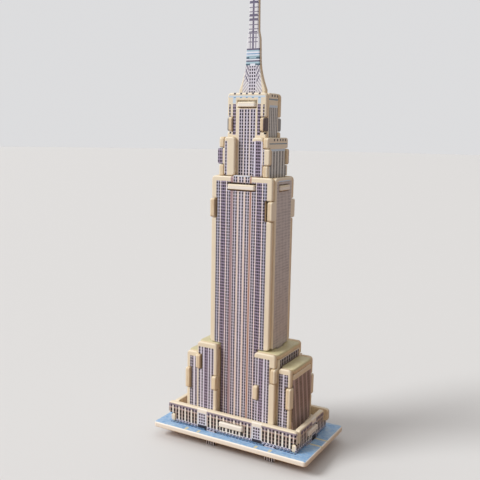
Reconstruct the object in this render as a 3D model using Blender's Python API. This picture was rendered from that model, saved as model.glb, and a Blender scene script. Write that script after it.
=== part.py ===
"""Miniature stepped Art-Deco skyscraper, made of press-fit 3 mm boards on a raised base plate.

Every board is a flat outline with tabs, notches and slots, extruded to the board's thickness.
Sizes below are millimetres and are turned into metres when an object is made.
X runs along the wide facade, the front facade faces -Y, and Z = 0 is the surface that the feet
stand on.
"""
import bpy
from math import cos, pi, radians, sin

MM = 0.001

# The boards and how they fit together.
BOARD = 3.0             # thickness of every board
GAP = 0.3               # clearance between two boards
PROUD = 1.0             # how far a tab stands out of the board that it passes through
CORNER_SHARE = 0.25     # corner radius as a share of the shorter side next to the corner
CORNER_MAX = 2.0        # largest corner radius
ARC_STEPS = 3           # straight pieces in each rounded corner

# Heights of the horizontal levels.
FOOT = 6.0                      # feet below the base plate
PLATE_TOP = FOOT + BOARD        # top of the base plate
DECK_TOP = PLATE_TOP + 7.6      # deck inside the podium
PODIUM_TOP = PLATE_TOP + 12.3
OUTER_TOP = PLATE_TOP + 44.9    # outer wings
INNER_TOP = PLATE_TOP + 52.5    # inner wings
SHAFT_ROOF = PLATE_TOP + 146.6
SHAFT_TOP = PLATE_TOP + 150.9
TIER_TOP = PLATE_TOP + 172.8    # cladding around the foot of the crown
CROWN_ROOF = PLATE_TOP + 192.3
CROWN_TOP = PLATE_TOP + 197.2
SPIRE_TOP = PLATE_TOP + 272.0

# Half sizes in plan, to the outer faces.
PLATE_X, PLATE_Y = 50.8, 27.6
PODIUM_X, PODIUM_Y = 42.3, 21.0
OUTER_X, OUTER_Y = 35.3, 15.4
INNER_X, INNER_Y = 26.5, 17.7
CORE_X = 12.4                   # inner faces of the wings, which the shaft's foot stands between
SHAFT_X, SHAFT_Y = 20.1, 13.8
TIER_X, TIER_Y = 15.6, 12.6
CROWN_X, CROWN_Y = 12.0, 9.3
SPIRE_Y = -3.5                  # front face of the spire board

# Side boards stand this far out past the edges of the front and back boards.
LIP = 0.6

# Tabs and slots: (start, end) along the board.
FEET = ((-17.6, -10.6), (21.6, 28.9))
WALL_TAB = (-8.0, 8.0)
LAP = PLATE_TOP + 5.0           # height at which the podium's corners change over
UPPER_ARM_LONG = 5.3            # the front wall's left and right arms over the side walls,
UPPER_ARM_SHORT = 3.0           # measured from the ends of the wall's lower part
LOWER_ARM = 3.5                 # the side walls' arms under the front and back walls
CANOPY_FRONT = (-8.0, 8.0)
CANOPY_SIDE = (-6.5, 6.5)
OUTER_TAB = (PLATE_TOP + 21.8, PLATE_TOP + 34.2)
INNER_TAB_HIGH = (PLATE_TOP + 36.0, PLATE_TOP + 44.5)
INNER_TAB_LOW = (PLATE_TOP + 24.5, PLATE_TOP + 32.9)
SHAFT_TAB = (PLATE_TOP + 127.1, PLATE_TOP + 137.9)
SHAFT_ROOF_TAB = (-8.7, 8.7)
SHAFT_ROOF_SIDE_TAB = (-5.9, 5.9)
SHAFT_CREST = (-5.2, 5.2)
SHAFT_CREST_RISE = 0.7
TIER_TAB = (PLATE_TOP + 157.6, PLATE_TOP + 166.5)
TIER_OPENING = 5.5              # half width of the gap between the tier's front boards
CROWN_TAB = (PLATE_TOP + 176.1, PLATE_TOP + 183.7)
CROWN_ROOF_TAB = (-5.7, 5.7)
OUTER_DECK_TAB = (28.6, 32.0)
INNER_DECK_TAB = (17.0, 22.0)
SIDE_DECK_TAB = (-5.0, 5.0)
SHAFT_DECK_TAB = (-5.0, 5.0)
SHAFT_SIDE_FOOT = (-4.0, 4.0)
TIER_FOOT = (-3.0, 3.0)
CROWN_FOOT = (-4.0, 4.0)
SPIRE_FOOT = (-3.0, 3.0)

# Wide notches leave daylight beside the tab on its inner side, and above and below a roof tab.
SHAFT_NOTCH_SPARE = {"left": 1.3, "right": 2.3}
WING_NOTCH_SPARE = 0.9
ROOF_SLOT_ABOVE = 0.9
ROOF_SLOT_BELOW = 0.6

# The spire board's outline, as half widths and heights above the base plate.
SPIRE_BASE_HALF = 8.4
SPIRE_FLARE_FROM, SPIRE_FLARE_TO = 199.2, 216.0
SPIRE_NECK_HALF = 4.35
SPIRE_SHOULDER_HALF = 4.05
SPIRE_SHOULDER_FROM, SPIRE_SHOULDER_TO = 226.0, 231.7
SPIRE_MAST_HALF = 3.1
SPIRE_TIP_HALF = 2.4
SPIRE_FLARE_POWER = 1.75
SPIRE_FLARE_STEPS = 9
SPIRE_SHOULDER_STEPS = 4
SPIRE_TIP_STEPS = 6

# Colours: (red, green, blue) and roughness.
FACADE = ((0.56, 0.50, 0.52), 0.55)
SIDE_FACADE = ((0.47, 0.43, 0.42), 0.55)
ROOF = ((0.66, 0.62, 0.42), 0.6)
WATER = ((0.26, 0.47, 0.72), 0.5)
BARE = ((0.60, 0.45, 0.28), 0.7)
MAST = ((0.62, 0.62, 0.68), 0.5)

# How each kind of board is turned: the outline's two axes become the world's.
FACING_FRONT = (radians(90), 0.0, 0.0)              # X and Z
FACING_SIDE = (radians(90), 0.0, radians(90))       # Y and Z
LYING = (0.0, 0.0, 0.0)                             # X and Y


def clear_scene():
    for item in list(bpy.data.objects):
        bpy.data.objects.remove(item, do_unlink=True)


def make_material(name, look):
    colour, roughness = look
    material = bpy.data.materials.new(name)
    material.use_nodes = True
    shader = material.node_tree.nodes["Principled BSDF"]
    shader.inputs["Base Color"].default_value = (*colour, 1.0)
    shader.inputs["Roughness"].default_value = roughness
    shader.inputs["Metallic"].default_value = 0.0
    return material


def turn(before, point, after):
    """Twice the signed area of a corner: above zero where the outline turns left."""
    return ((point[0] - before[0]) * (after[1] - point[1])
            - (point[1] - before[1]) * (after[0] - point[0]))


def without_straight_points(points):
    """Drop repeated points and points on a straight line, until none is left."""
    kept = list(points)
    index = 0
    while index < len(kept):
        before = kept[index - 1]
        after = kept[(index + 1) % len(kept)]
        if abs(turn(before, kept[index], after)) < 1e-6:
            del kept[index]
            index = max(index - 2, 0)
        else:
            index += 1
    return kept


def rounded(points):
    """Round the outer corners of a counter-clockwise outline made of right angles."""
    result = []
    for index, point in enumerate(points):
        before = points[index - 1]
        after = points[(index + 1) % len(points)]
        if turn(before, point, after) < 0:
            result.append(point)
            continue
        back = (before[0] - point[0], before[1] - point[1])
        ahead = (after[0] - point[0], after[1] - point[1])
        back_length = (back[0] ** 2 + back[1] ** 2) ** 0.5
        ahead_length = (ahead[0] ** 2 + ahead[1] ** 2) ** 0.5
        radius = min(CORNER_MAX, CORNER_SHARE * min(back_length, ahead_length))
        for step in range(ARC_STEPS + 1):
            angle = step / ARC_STEPS * pi / 2
            along_back = radius * (1 - sin(angle)) / back_length
            along_ahead = radius * (1 - cos(angle)) / ahead_length
            result.append((point[0] + back[0] * along_back + ahead[0] * along_ahead,
                           point[1] + back[1] * along_back + ahead[1] * along_ahead))
    return result


def outline(left, right, bottom, top, steps=()):
    """A rectangle whose sides step out (tabs) or in (notches), with its outer corners rounded.

    Each step is (side, start, end, offset), and an offset above zero points away from the board.
    """
    points = []
    for side in ("bottom", "right", "top", "left"):
        here = sorted((start, end, offset) for name, start, end, offset in steps if name == side)
        if side == "bottom":
            points.append((left, bottom))
            for start, end, offset in here:
                low = bottom - offset
                points += [(start, bottom), (start, low), (end, low), (end, bottom)]
        elif side == "right":
            points.append((right, bottom))
            for start, end, offset in here:
                far = right + offset
                points += [(right, start), (far, start), (far, end), (right, end)]
        elif side == "top":
            points.append((right, top))
            for start, end, offset in reversed(here):
                high = top + offset
                points += [(end, top), (end, high), (start, high), (start, top)]
        else:
            points.append((left, top))
            for start, end, offset in reversed(here):
                far = left - offset
                points += [(left, end), (far, end), (far, start), (left, start)]
    return rounded(without_straight_points(points))


def slot(start, end, low, high):
    """A rectangular hole, run clockwise."""
    return [(start, low), (start, high), (end, high), (end, low)]


def make_board(name, loops, turned, middle, look):
    """Extrude the loops to a board, whose middle plane is at `middle` along its thickness."""
    curve = bpy.data.curves.new(name, "CURVE")
    curve.dimensions = "2D"
    curve.fill_mode = "BOTH"
    curve.extrude = BOARD / 2 * MM
    for points in loops:
        spline = curve.splines.new("POLY")
        spline.points.add(len(points) - 1)
        for target, (across, up) in zip(spline.points, points):
            target.co = (across * MM, up * MM, 0.0, 1.0)
        spline.use_cyclic_u = True
    board = bpy.data.objects.new(name, curve)
    board.rotation_euler = turned
    if turned == FACING_FRONT:
        board.location = (0.0, middle * MM, 0.0)
    elif turned == FACING_SIDE:
        board.location = (middle * MM, 0.0, 0.0)
    else:
        board.location = (0.0, 0.0, middle * MM)
    curve.materials.append(make_material(name, look))
    collection.objects.link(board)
    return board


def half_turned(loops):
    """The same outline seen from the other side: a copy turned half round about Z."""
    return [[(-across, up) for across, up in reversed(points)] for points in loops]


def mirrored(span):
    return (-span[1], -span[0])


def make_base():
    loops = [outline(-PLATE_X, PLATE_X, -PLATE_Y, PLATE_Y)]
    near, far = PODIUM_Y - BOARD - GAP, PODIUM_Y + GAP
    for start, end in FEET:
        loops.append(slot(start - GAP, end + GAP, -far, -near))
        loops.append(slot(-end - GAP, -start + GAP, near, far))
    near, far = PODIUM_X - BOARD - GAP, PODIUM_X + GAP
    start, end = WALL_TAB
    loops.append(slot(near, far, start - GAP, end + GAP))
    loops.append(slot(-far, -near, start - GAP, end + GAP))
    make_board("base_plate", loops, LYING, PLATE_TOP - BOARD / 2, WATER)


def make_podium():
    """At each corner the front or back wall passes above, and the side wall below."""
    bottom = PLATE_TOP + GAP
    canopy_low, canopy_high = DECK_TOP - BOARD - GAP, DECK_TOP + GAP
    inside_x, inside_y = PODIUM_X - BOARD - GAP, PODIUM_Y - BOARD - GAP

    upper, lower = LAP + GAP / 2, LAP - GAP / 2
    steps = [("left", upper, PODIUM_TOP, UPPER_ARM_LONG),
             ("right", upper, PODIUM_TOP, UPPER_ARM_SHORT)]
    steps += [("bottom", start, end, PLATE_TOP + GAP) for start, end in FEET]
    loops = [outline(-inside_x, inside_x, bottom, PODIUM_TOP, steps),
             slot(CANOPY_FRONT[0] - GAP, CANOPY_FRONT[1] + GAP, canopy_low, canopy_high)]
    make_board("podium_front_wall", loops, FACING_FRONT, BOARD / 2 - PODIUM_Y, FACADE)
    make_board("podium_back_wall", half_turned(loops), FACING_FRONT, PODIUM_Y - BOARD / 2, FACADE)

    steps = [("left", bottom, lower, LOWER_ARM), ("right", bottom, lower, LOWER_ARM),
             ("bottom", *WALL_TAB, BOARD + GAP)]
    loops = [outline(-inside_y, inside_y, bottom, PODIUM_TOP, steps),
             slot(CANOPY_SIDE[0] - GAP, CANOPY_SIDE[1] + GAP, canopy_low, canopy_high)]
    make_board("podium_right_wall", loops, FACING_SIDE, PODIUM_X - BOARD / 2, SIDE_FACADE)
    make_board("podium_left_wall", half_turned(loops), FACING_SIDE, BOARD / 2 - PODIUM_X,
               SIDE_FACADE)


def make_deck():
    """The deck's tabs come out through the podium walls as the entrance canopies."""
    inside_x, inside_y = PODIUM_X - BOARD - GAP, PODIUM_Y - BOARD - GAP
    reach = BOARD + GAP + PROUD
    steps = [("bottom", *CANOPY_FRONT, reach), ("top", *CANOPY_FRONT, reach),
             ("left", *CANOPY_SIDE, reach), ("right", *CANOPY_SIDE, reach)]
    edge_notch = inside_y - (INNER_Y - BOARD - GAP)
    for span in (INNER_DECK_TAB, mirrored(INNER_DECK_TAB)):
        for side in ("bottom", "top"):
            steps.append((side, span[0] - GAP, span[1] + GAP, -edge_notch))
    loops = [outline(-inside_x, inside_x, -inside_y, inside_y, steps)]

    side_low, side_high = SIDE_DECK_TAB[0] - GAP, SIDE_DECK_TAB[1] + GAP
    for outer_face in (OUTER_X, INNER_X, CORE_X + BOARD):
        near, far = outer_face - BOARD - GAP, outer_face + GAP
        loops.append(slot(near, far, side_low, side_high))
        loops.append(slot(-far, -near, side_low, side_high))
    wings = [(OUTER_DECK_TAB, OUTER_Y), (mirrored(OUTER_DECK_TAB), OUTER_Y),
             (SHAFT_DECK_TAB, SHAFT_Y)]
    for span, face in wings:
        near, far = face - BOARD - GAP, face + GAP
        loops.append(slot(span[0] - GAP, span[1] + GAP, -far, -near))
        loops.append(slot(span[0] - GAP, span[1] + GAP, near, far))
    make_board("podium_deck", loops, LYING, DECK_TOP - BOARD / 2, BARE)


def make_outer_wing(side, sign):
    """Front, back, side and roof boards of one outer wing; sign is -1 left and 1 right."""
    bottom = DECK_TOP + GAP
    inner_edge = INNER_X + GAP
    outer_edge = OUTER_X - LIP
    notch = outer_edge - (OUTER_X - BOARD - WING_NOTCH_SPARE)
    tab_low, tab_high = OUTER_TAB
    edge_name = "right" if sign > 0 else "left"
    span = OUTER_DECK_TAB if sign > 0 else mirrored(OUTER_DECK_TAB)
    left, right = sorted((sign * inner_edge, sign * outer_edge))
    loops = [outline(left, right, bottom, OUTER_TOP,
                     [(edge_name, tab_low - GAP, tab_high + GAP, -notch),
                      ("bottom", *span, BOARD + GAP)])]
    make_board(f"outer_wing_{side}_front", loops, FACING_FRONT, BOARD / 2 - OUTER_Y, FACADE)
    make_board(f"outer_wing_{side}_back", loops, FACING_FRONT, OUTER_Y - BOARD / 2, FACADE)

    inside_y = OUTER_Y - BOARD - GAP
    reach = BOARD + GAP + PROUD
    under_roof = OUTER_TOP - BOARD - GAP
    loops = [outline(-inside_y, inside_y, bottom, under_roof,
                     [("left", tab_low, tab_high, reach), ("right", tab_low, tab_high, reach),
                      ("bottom", *SIDE_DECK_TAB, BOARD + GAP)])]
    make_board(f"outer_wing_{side}_side", loops, FACING_SIDE, sign * (OUTER_X - BOARD / 2),
               SIDE_FACADE)

    left, right = sorted((sign * inner_edge, sign * OUTER_X))
    loops = [outline(left, right, -inside_y, inside_y)]
    make_board(f"outer_wing_{side}_roof", loops, LYING, OUTER_TOP - BOARD / 2, ROOF)


def make_inner_wing(side, sign):
    """Front, back, two side boards and the roof of one inner wing."""
    bottom = DECK_TOP + GAP
    outer_edge = INNER_X - LIP
    outer_notch = outer_edge - (INNER_X - BOARD - WING_NOTCH_SPARE)
    inner_notch = BOARD + GAP
    outer_name, inner_name = ("right", "left") if sign > 0 else ("left", "right")
    span = INNER_DECK_TAB if sign > 0 else mirrored(INNER_DECK_TAB)
    left, right = sorted((sign * CORE_X, sign * outer_edge))
    loops = [outline(left, right, bottom, INNER_TOP,
                     [(outer_name, INNER_TAB_HIGH[0] - GAP, INNER_TAB_HIGH[1] + GAP, -outer_notch),
                      (inner_name, INNER_TAB_LOW[0] - GAP, INNER_TAB_LOW[1] + GAP, -inner_notch),
                      ("bottom", *span, BOARD + GAP)])]
    make_board(f"inner_wing_{side}_front", loops, FACING_FRONT, BOARD / 2 - INNER_Y, FACADE)
    make_board(f"inner_wing_{side}_back", loops, FACING_FRONT, INNER_Y - BOARD / 2, FACADE)

    inside_y = INNER_Y - BOARD - GAP
    reach = BOARD + GAP + PROUD
    under_roof = INNER_TOP - BOARD - GAP
    boards = [("outer_side", INNER_X - BOARD / 2, INNER_TAB_HIGH, SIDE_FACADE),
              ("inner_side", CORE_X + BOARD / 2, INNER_TAB_LOW, BARE)]
    for name, middle, tab, look in boards:
        loops = [outline(-inside_y, inside_y, bottom, under_roof,
                         [("left", *tab, reach), ("right", *tab, reach),
                          ("bottom", *SIDE_DECK_TAB, BOARD + GAP)])]
        make_board(f"inner_wing_{side}_{name}", loops, FACING_SIDE, sign * middle, look)

    left, right = sorted((sign * CORE_X, sign * INNER_X))
    near, far = sorted((sign * (SHAFT_X - BOARD - GAP), sign * (SHAFT_X + GAP)))
    loops = [outline(left, right, -inside_y, inside_y),
             slot(near, far, SHAFT_SIDE_FOOT[0] - GAP, SHAFT_SIDE_FOOT[1] + GAP)]
    make_board(f"inner_wing_{side}_roof", loops, LYING, INNER_TOP - BOARD / 2, ROOF)


def make_shaft():
    """The tall block: its front and back narrow at the foot to pass between the wings."""
    bottom = DECK_TOP + GAP
    edge = SHAFT_X - LIP
    shoulder = INNER_TOP + GAP
    foot_inset = edge - (CORE_X - GAP)
    steps = [("top", *SHAFT_CREST, SHAFT_CREST_RISE), ("bottom", *SHAFT_DECK_TAB, BOARD + GAP)]
    for name, spare in SHAFT_NOTCH_SPARE.items():
        notch = edge - (SHAFT_X - BOARD - spare)
        steps.append((name, SHAFT_TAB[0] - GAP, SHAFT_TAB[1] + GAP, -notch))
        steps.append((name, bottom, shoulder, -foot_inset))
    loops = [outline(-edge, edge, bottom, SHAFT_TOP, steps),
             slot(SHAFT_ROOF_TAB[0] - GAP, SHAFT_ROOF_TAB[1] + GAP,
                  SHAFT_ROOF - BOARD - ROOF_SLOT_BELOW, SHAFT_ROOF + ROOF_SLOT_ABOVE)]
    make_board("shaft_front", loops, FACING_FRONT, BOARD / 2 - SHAFT_Y, FACADE)
    make_board("shaft_back", half_turned(loops), FACING_FRONT, SHAFT_Y - BOARD / 2, FACADE)

    inside_x, inside_y = SHAFT_X - BOARD - GAP, SHAFT_Y - BOARD - GAP
    reach = BOARD + GAP + PROUD
    loops = [outline(-inside_y, inside_y, shoulder, SHAFT_TOP,
                     [("left", *SHAFT_TAB, reach), ("right", *SHAFT_TAB, reach),
                      ("bottom", *SHAFT_SIDE_FOOT, BOARD + GAP)]),
             slot(SHAFT_ROOF_SIDE_TAB[0] - GAP, SHAFT_ROOF_SIDE_TAB[1] + GAP,
                  SHAFT_ROOF - BOARD - GAP, SHAFT_ROOF + GAP)]
    make_board("shaft_left", loops, FACING_SIDE, BOARD / 2 - SHAFT_X, SIDE_FACADE)
    make_board("shaft_right", loops, FACING_SIDE, SHAFT_X - BOARD / 2, SIDE_FACADE)

    loops = [outline(-inside_x, inside_x, -inside_y, inside_y,
                     [("bottom", *SHAFT_ROOF_TAB, reach), ("top", *SHAFT_ROOF_TAB, reach),
                      ("left", *SHAFT_ROOF_SIDE_TAB, reach),
                      ("right", *SHAFT_ROOF_SIDE_TAB, reach)])]
    near, far = TIER_X - BOARD - GAP, TIER_X + GAP
    loops.append(slot(near, far, TIER_FOOT[0] - GAP, TIER_FOOT[1] + GAP))
    loops.append(slot(-far, -near, TIER_FOOT[0] - GAP, TIER_FOOT[1] + GAP))
    near, far = CROWN_Y - BOARD - GAP, CROWN_Y + GAP
    loops.append(slot(CROWN_FOOT[0] - GAP, CROWN_FOOT[1] + GAP, -far, -near))
    loops.append(slot(CROWN_FOOT[0] - GAP, CROWN_FOOT[1] + GAP, near, far))
    make_board("shaft_roof", loops, LYING, SHAFT_ROOF - BOARD / 2, ROOF)


def make_tier():
    """Cladding around the foot of the crown: two side boards and four narrow front boards."""
    on_roof, on_rim = SHAFT_ROOF + GAP, SHAFT_TOP + GAP
    inside_shaft = SHAFT_Y - BOARD - GAP
    notch = BOARD + GAP
    tab_low, tab_high = TIER_TAB
    steps = [("bottom", *TIER_FOOT, BOARD + GAP)]
    for name in ("left", "right"):
        steps.append((name, tab_low - GAP, tab_high + GAP, -notch))
        steps.append((name, on_roof, on_rim, inside_shaft - TIER_Y))
    loops = [outline(-TIER_Y, TIER_Y, on_roof, TIER_TOP, steps)]
    make_board("tier_left_side", loops, FACING_SIDE, BOARD / 2 - TIER_X, SIDE_FACADE)
    make_board("tier_right_side", loops, FACING_SIDE, TIER_X - BOARD / 2, SIDE_FACADE)

    outer_edge = TIER_X - BOARD - GAP
    reach = BOARD + GAP + PROUD
    right_loops = [outline(TIER_OPENING, outer_edge, on_rim, TIER_TOP,
                           [("right", tab_low, tab_high, reach)])]
    for side, loops in (("left", half_turned(right_loops)), ("right", right_loops)):
        make_board(f"tier_front_{side}", loops, FACING_FRONT, BOARD / 2 - TIER_Y, FACADE)
        make_board(f"tier_back_{side}", loops, FACING_FRONT, TIER_Y - BOARD / 2, FACADE)


def make_crown():
    """Four boards that run down inside the tier to the shaft's roof, and the crown's own roof."""
    on_roof = SHAFT_ROOF + GAP
    half_width = TIER_X - BOARD - GAP
    notch = half_width - (CROWN_X - BOARD - GAP)
    steps = [("bottom", *CROWN_FOOT, BOARD + GAP)]
    steps += [(name, CROWN_TAB[0] - GAP, CROWN_TAB[1] + GAP, -notch) for name in ("left", "right")]
    loops = [outline(-half_width, half_width, on_roof, CROWN_TOP, steps),
             slot(CROWN_ROOF_TAB[0] - GAP, CROWN_ROOF_TAB[1] + GAP,
                  CROWN_ROOF - BOARD - GAP, CROWN_ROOF + ROOF_SLOT_BELOW)]
    make_board("crown_front", loops, FACING_FRONT, BOARD / 2 - CROWN_Y, FACADE)
    make_board("crown_back", loops, FACING_FRONT, CROWN_Y - BOARD / 2, FACADE)

    inside_x, inside_y = CROWN_X - BOARD - GAP, CROWN_Y - BOARD - GAP
    reach = BOARD + GAP + PROUD
    loops = [outline(-inside_y, inside_y, on_roof, CROWN_TOP,
                     [("left", *CROWN_TAB, reach), ("right", *CROWN_TAB, reach)])]
    make_board("crown_left", loops, FACING_SIDE, BOARD / 2 - CROWN_X, SIDE_FACADE)
    make_board("crown_right", loops, FACING_SIDE, CROWN_X - BOARD / 2, SIDE_FACADE)

    loops = [outline(-inside_x, inside_x, -inside_y, inside_y,
                     [("bottom", *CROWN_ROOF_TAB, reach), ("top", *CROWN_ROOF_TAB, reach)]),
             slot(SPIRE_FOOT[0] - GAP, SPIRE_FOOT[1] + GAP,
                  SPIRE_Y - GAP, SPIRE_Y + BOARD + GAP)]
    make_board("crown_roof", loops, LYING, CROWN_ROOF - BOARD / 2, ROOF)


def spire_half_widths():
    """(half width, height) pairs of the spire's right edge, from its base to its tip."""
    edge = [(SPIRE_BASE_HALF, CROWN_ROOF + GAP)]
    rise = SPIRE_FLARE_TO - SPIRE_FLARE_FROM
    for step in range(SPIRE_FLARE_STEPS + 1):
        share = 1 - step / SPIRE_FLARE_STEPS
        half = SPIRE_NECK_HALF + (SPIRE_BASE_HALF - SPIRE_NECK_HALF) * share ** SPIRE_FLARE_POWER
        edge.append((half, PLATE_TOP + SPIRE_FLARE_TO - rise * share))
    rise = SPIRE_SHOULDER_TO - SPIRE_SHOULDER_FROM
    for step in range(SPIRE_SHOULDER_STEPS + 1):
        share = step / SPIRE_SHOULDER_STEPS
        ease = (1 + cos(pi * share)) / 2
        half = SPIRE_MAST_HALF + (SPIRE_SHOULDER_HALF - SPIRE_MAST_HALF) * ease
        edge.append((half, PLATE_TOP + SPIRE_SHOULDER_FROM + rise * share))
    for step in range(SPIRE_TIP_STEPS):
        angle = step / SPIRE_TIP_STEPS * pi / 2
        edge.append((SPIRE_TIP_HALF * cos(angle), SPIRE_TOP - SPIRE_TIP_HALF * (1 - sin(angle))))
    return edge


def make_spire():
    """One flat board with a flared foot, a neck and a mast, on a tab in the crown's roof."""
    edge = spire_half_widths()
    foot_start, foot_end = SPIRE_FOOT
    on_roof, foot_low = CROWN_ROOF + GAP, CROWN_ROOF - BOARD
    points = [(foot_start, on_roof), (foot_start, foot_low), (foot_end, foot_low),
              (foot_end, on_roof)]
    points += edge
    points.append((0.0, SPIRE_TOP))
    points += [(-half, height) for half, height in reversed(edge)]
    make_board("spire_board", [points], FACING_FRONT, SPIRE_Y + BOARD / 2, MAST)


clear_scene()
collection = bpy.data.collections.new("miniature_skyscraper")
bpy.context.scene.collection.children.link(collection)
make_base()
make_podium()
make_deck()
for wing_side, wing_sign in (("left", -1), ("right", 1)):
    make_outer_wing(wing_side, wing_sign)
    make_inner_wing(wing_side, wing_sign)
make_shaft()
make_tier()
make_crown()
make_spire()
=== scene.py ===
"""Looks of a miniature stepped skyscraper: printed and varnished press-fit plywood boards.

Every board of the frame is rebuilt from its own outline with soft, pressed rims, and gets a
painted facade made of shader nodes. The print is laid out in millimetres: across the board, and
up from the top of the base plate. The stage is a pale floor under soft daylight from the left.
"""

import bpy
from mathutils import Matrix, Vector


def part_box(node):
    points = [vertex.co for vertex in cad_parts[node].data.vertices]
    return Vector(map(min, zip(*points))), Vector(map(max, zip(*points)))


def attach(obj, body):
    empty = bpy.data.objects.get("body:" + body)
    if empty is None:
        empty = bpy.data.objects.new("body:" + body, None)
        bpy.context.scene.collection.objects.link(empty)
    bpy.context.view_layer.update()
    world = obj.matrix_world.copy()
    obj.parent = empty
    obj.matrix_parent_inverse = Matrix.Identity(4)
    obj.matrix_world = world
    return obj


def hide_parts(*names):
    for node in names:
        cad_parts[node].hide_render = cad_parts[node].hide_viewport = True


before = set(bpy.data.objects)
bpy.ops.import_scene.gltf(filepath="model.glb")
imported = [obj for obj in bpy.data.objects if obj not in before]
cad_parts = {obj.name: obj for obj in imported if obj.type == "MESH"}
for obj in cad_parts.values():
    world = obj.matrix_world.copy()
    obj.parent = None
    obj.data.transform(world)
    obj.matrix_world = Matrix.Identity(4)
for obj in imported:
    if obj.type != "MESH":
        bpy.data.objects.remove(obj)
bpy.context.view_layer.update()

from math import cos, pi, radians, sin

import bmesh
import bpy
from mathutils import Matrix, Vector
from mathutils.geometry import tessellate_polygon

MM = 0.001
PLATE_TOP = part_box("base_plate")[1].z / MM      # print heights are measured from here
BOARD = (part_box("base_plate")[1].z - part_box("base_plate")[0].z) / MM

# Pressed rims of the boards, in millimetres: on the printed face and on the bare one.
FACE_RIM = 0.75
BACK_RIM = 0.5
RIM_STEPS = 4

# Paint, in millimetres.
COAT_DEPTH = 1.0         # how far the paint reaches round the rim
PRINT_DEPTH = 0.95       # how far a print reaches round the rim, where the edge is painted too
EDGE_DEPTH = 2.5         # how far the paint of an edge reaches
ROW = 1.75               # pitch of the rows of small windows
WINDOW = 1.2             # height of such a window


def srgb(red, green, blue):
    """A linear colour from 8-bit sRGB values."""
    linear = []
    for value in (red / 255, green / 255, blue / 255):
        linear.append(value / 12.92 if value <= 0.04045 else ((value + 0.055) / 1.055) ** 2.4)
    return (*linear, 1.0)


# Paint.
CREAM = srgb(240, 226, 199)
WHITE_CREAM = srgb(248, 240, 226)
PINK_CREAM = srgb(234, 218, 208)
SALMON = srgb(180, 132, 112)
DUSTY_PINK = srgb(172, 140, 144)
LILAC_GREY = srgb(226, 222, 234)
SILL = srgb(178, 170, 190)
LINE = srgb(244, 232, 228)
PALE_BLUE = srgb(236, 240, 250)
BLUE_GREY = srgb(194, 196, 213)
PURPLE = srgb(174, 160, 184)
FRIEZE = srgb(164, 153, 166)
PURPLE_GREY = srgb(190, 183, 192)
GLASS = srgb(14, 10, 24)
GLASS_LIGHT = srgb(40, 33, 54)
GLASS_BROWN = srgb(16, 6, 6)
SPANDREL = srgb(156, 130, 116)
SKY_LINE = srgb(126, 170, 205)
SKY_BAND = srgb(208, 224, 236)
SIDE_BLUE = srgb(124, 148, 162)
SIDE_GROUND = srgb(202, 192, 186)
SIDE_GLASS = srgb(152, 142, 140)
SIDE_DARK = srgb(92, 84, 82)
RIB = srgb(226, 224, 216)
RIB_GLASS = srgb(150, 148, 144)
WING_SIDE_GROUND = srgb(144, 126, 122)
WING_SIDE_GLASS = srgb(92, 78, 78)
ROOF_PAINT = srgb(216, 208, 168)
ROOF_WASH = srgb(198, 188, 142)
WATER = srgb(150, 192, 230)
WATER_DEEP = srgb(112, 164, 214)
SAND = srgb(226, 218, 182)
TEAL = srgb(70, 104, 122)
TEAL_LIGHT = srgb(176, 208, 220)
MAST_LILAC = srgb(104, 98, 124)
MAST_WHITE = srgb(232, 232, 234)
RUNG = srgb(128, 122, 142)
DOOR = srgb(30, 30, 46)
DOOR_BLUE = srgb(44, 54, 104)
ENTRANCE = srgb(226, 226, 230)
FRIEZE_GLASS = srgb(70, 58, 78)

# Wood.
PLY = srgb(238, 220, 188)
PLY_DARK = srgb(218, 192, 154)
PLY_GLUE = srgb(190, 158, 118)
WASH = srgb(238, 220, 188)
SPECK = srgb(120, 96, 78)
STAIN = srgb(176, 150, 116)
STREAK = srgb(208, 184, 184)

BLACK, WHITE = (0.0, 0.0, 0.0, 1.0), (1.0, 1.0, 1.0, 1.0)
HALF_GREY = (0.35, 0.35, 0.35, 1.0)


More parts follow.
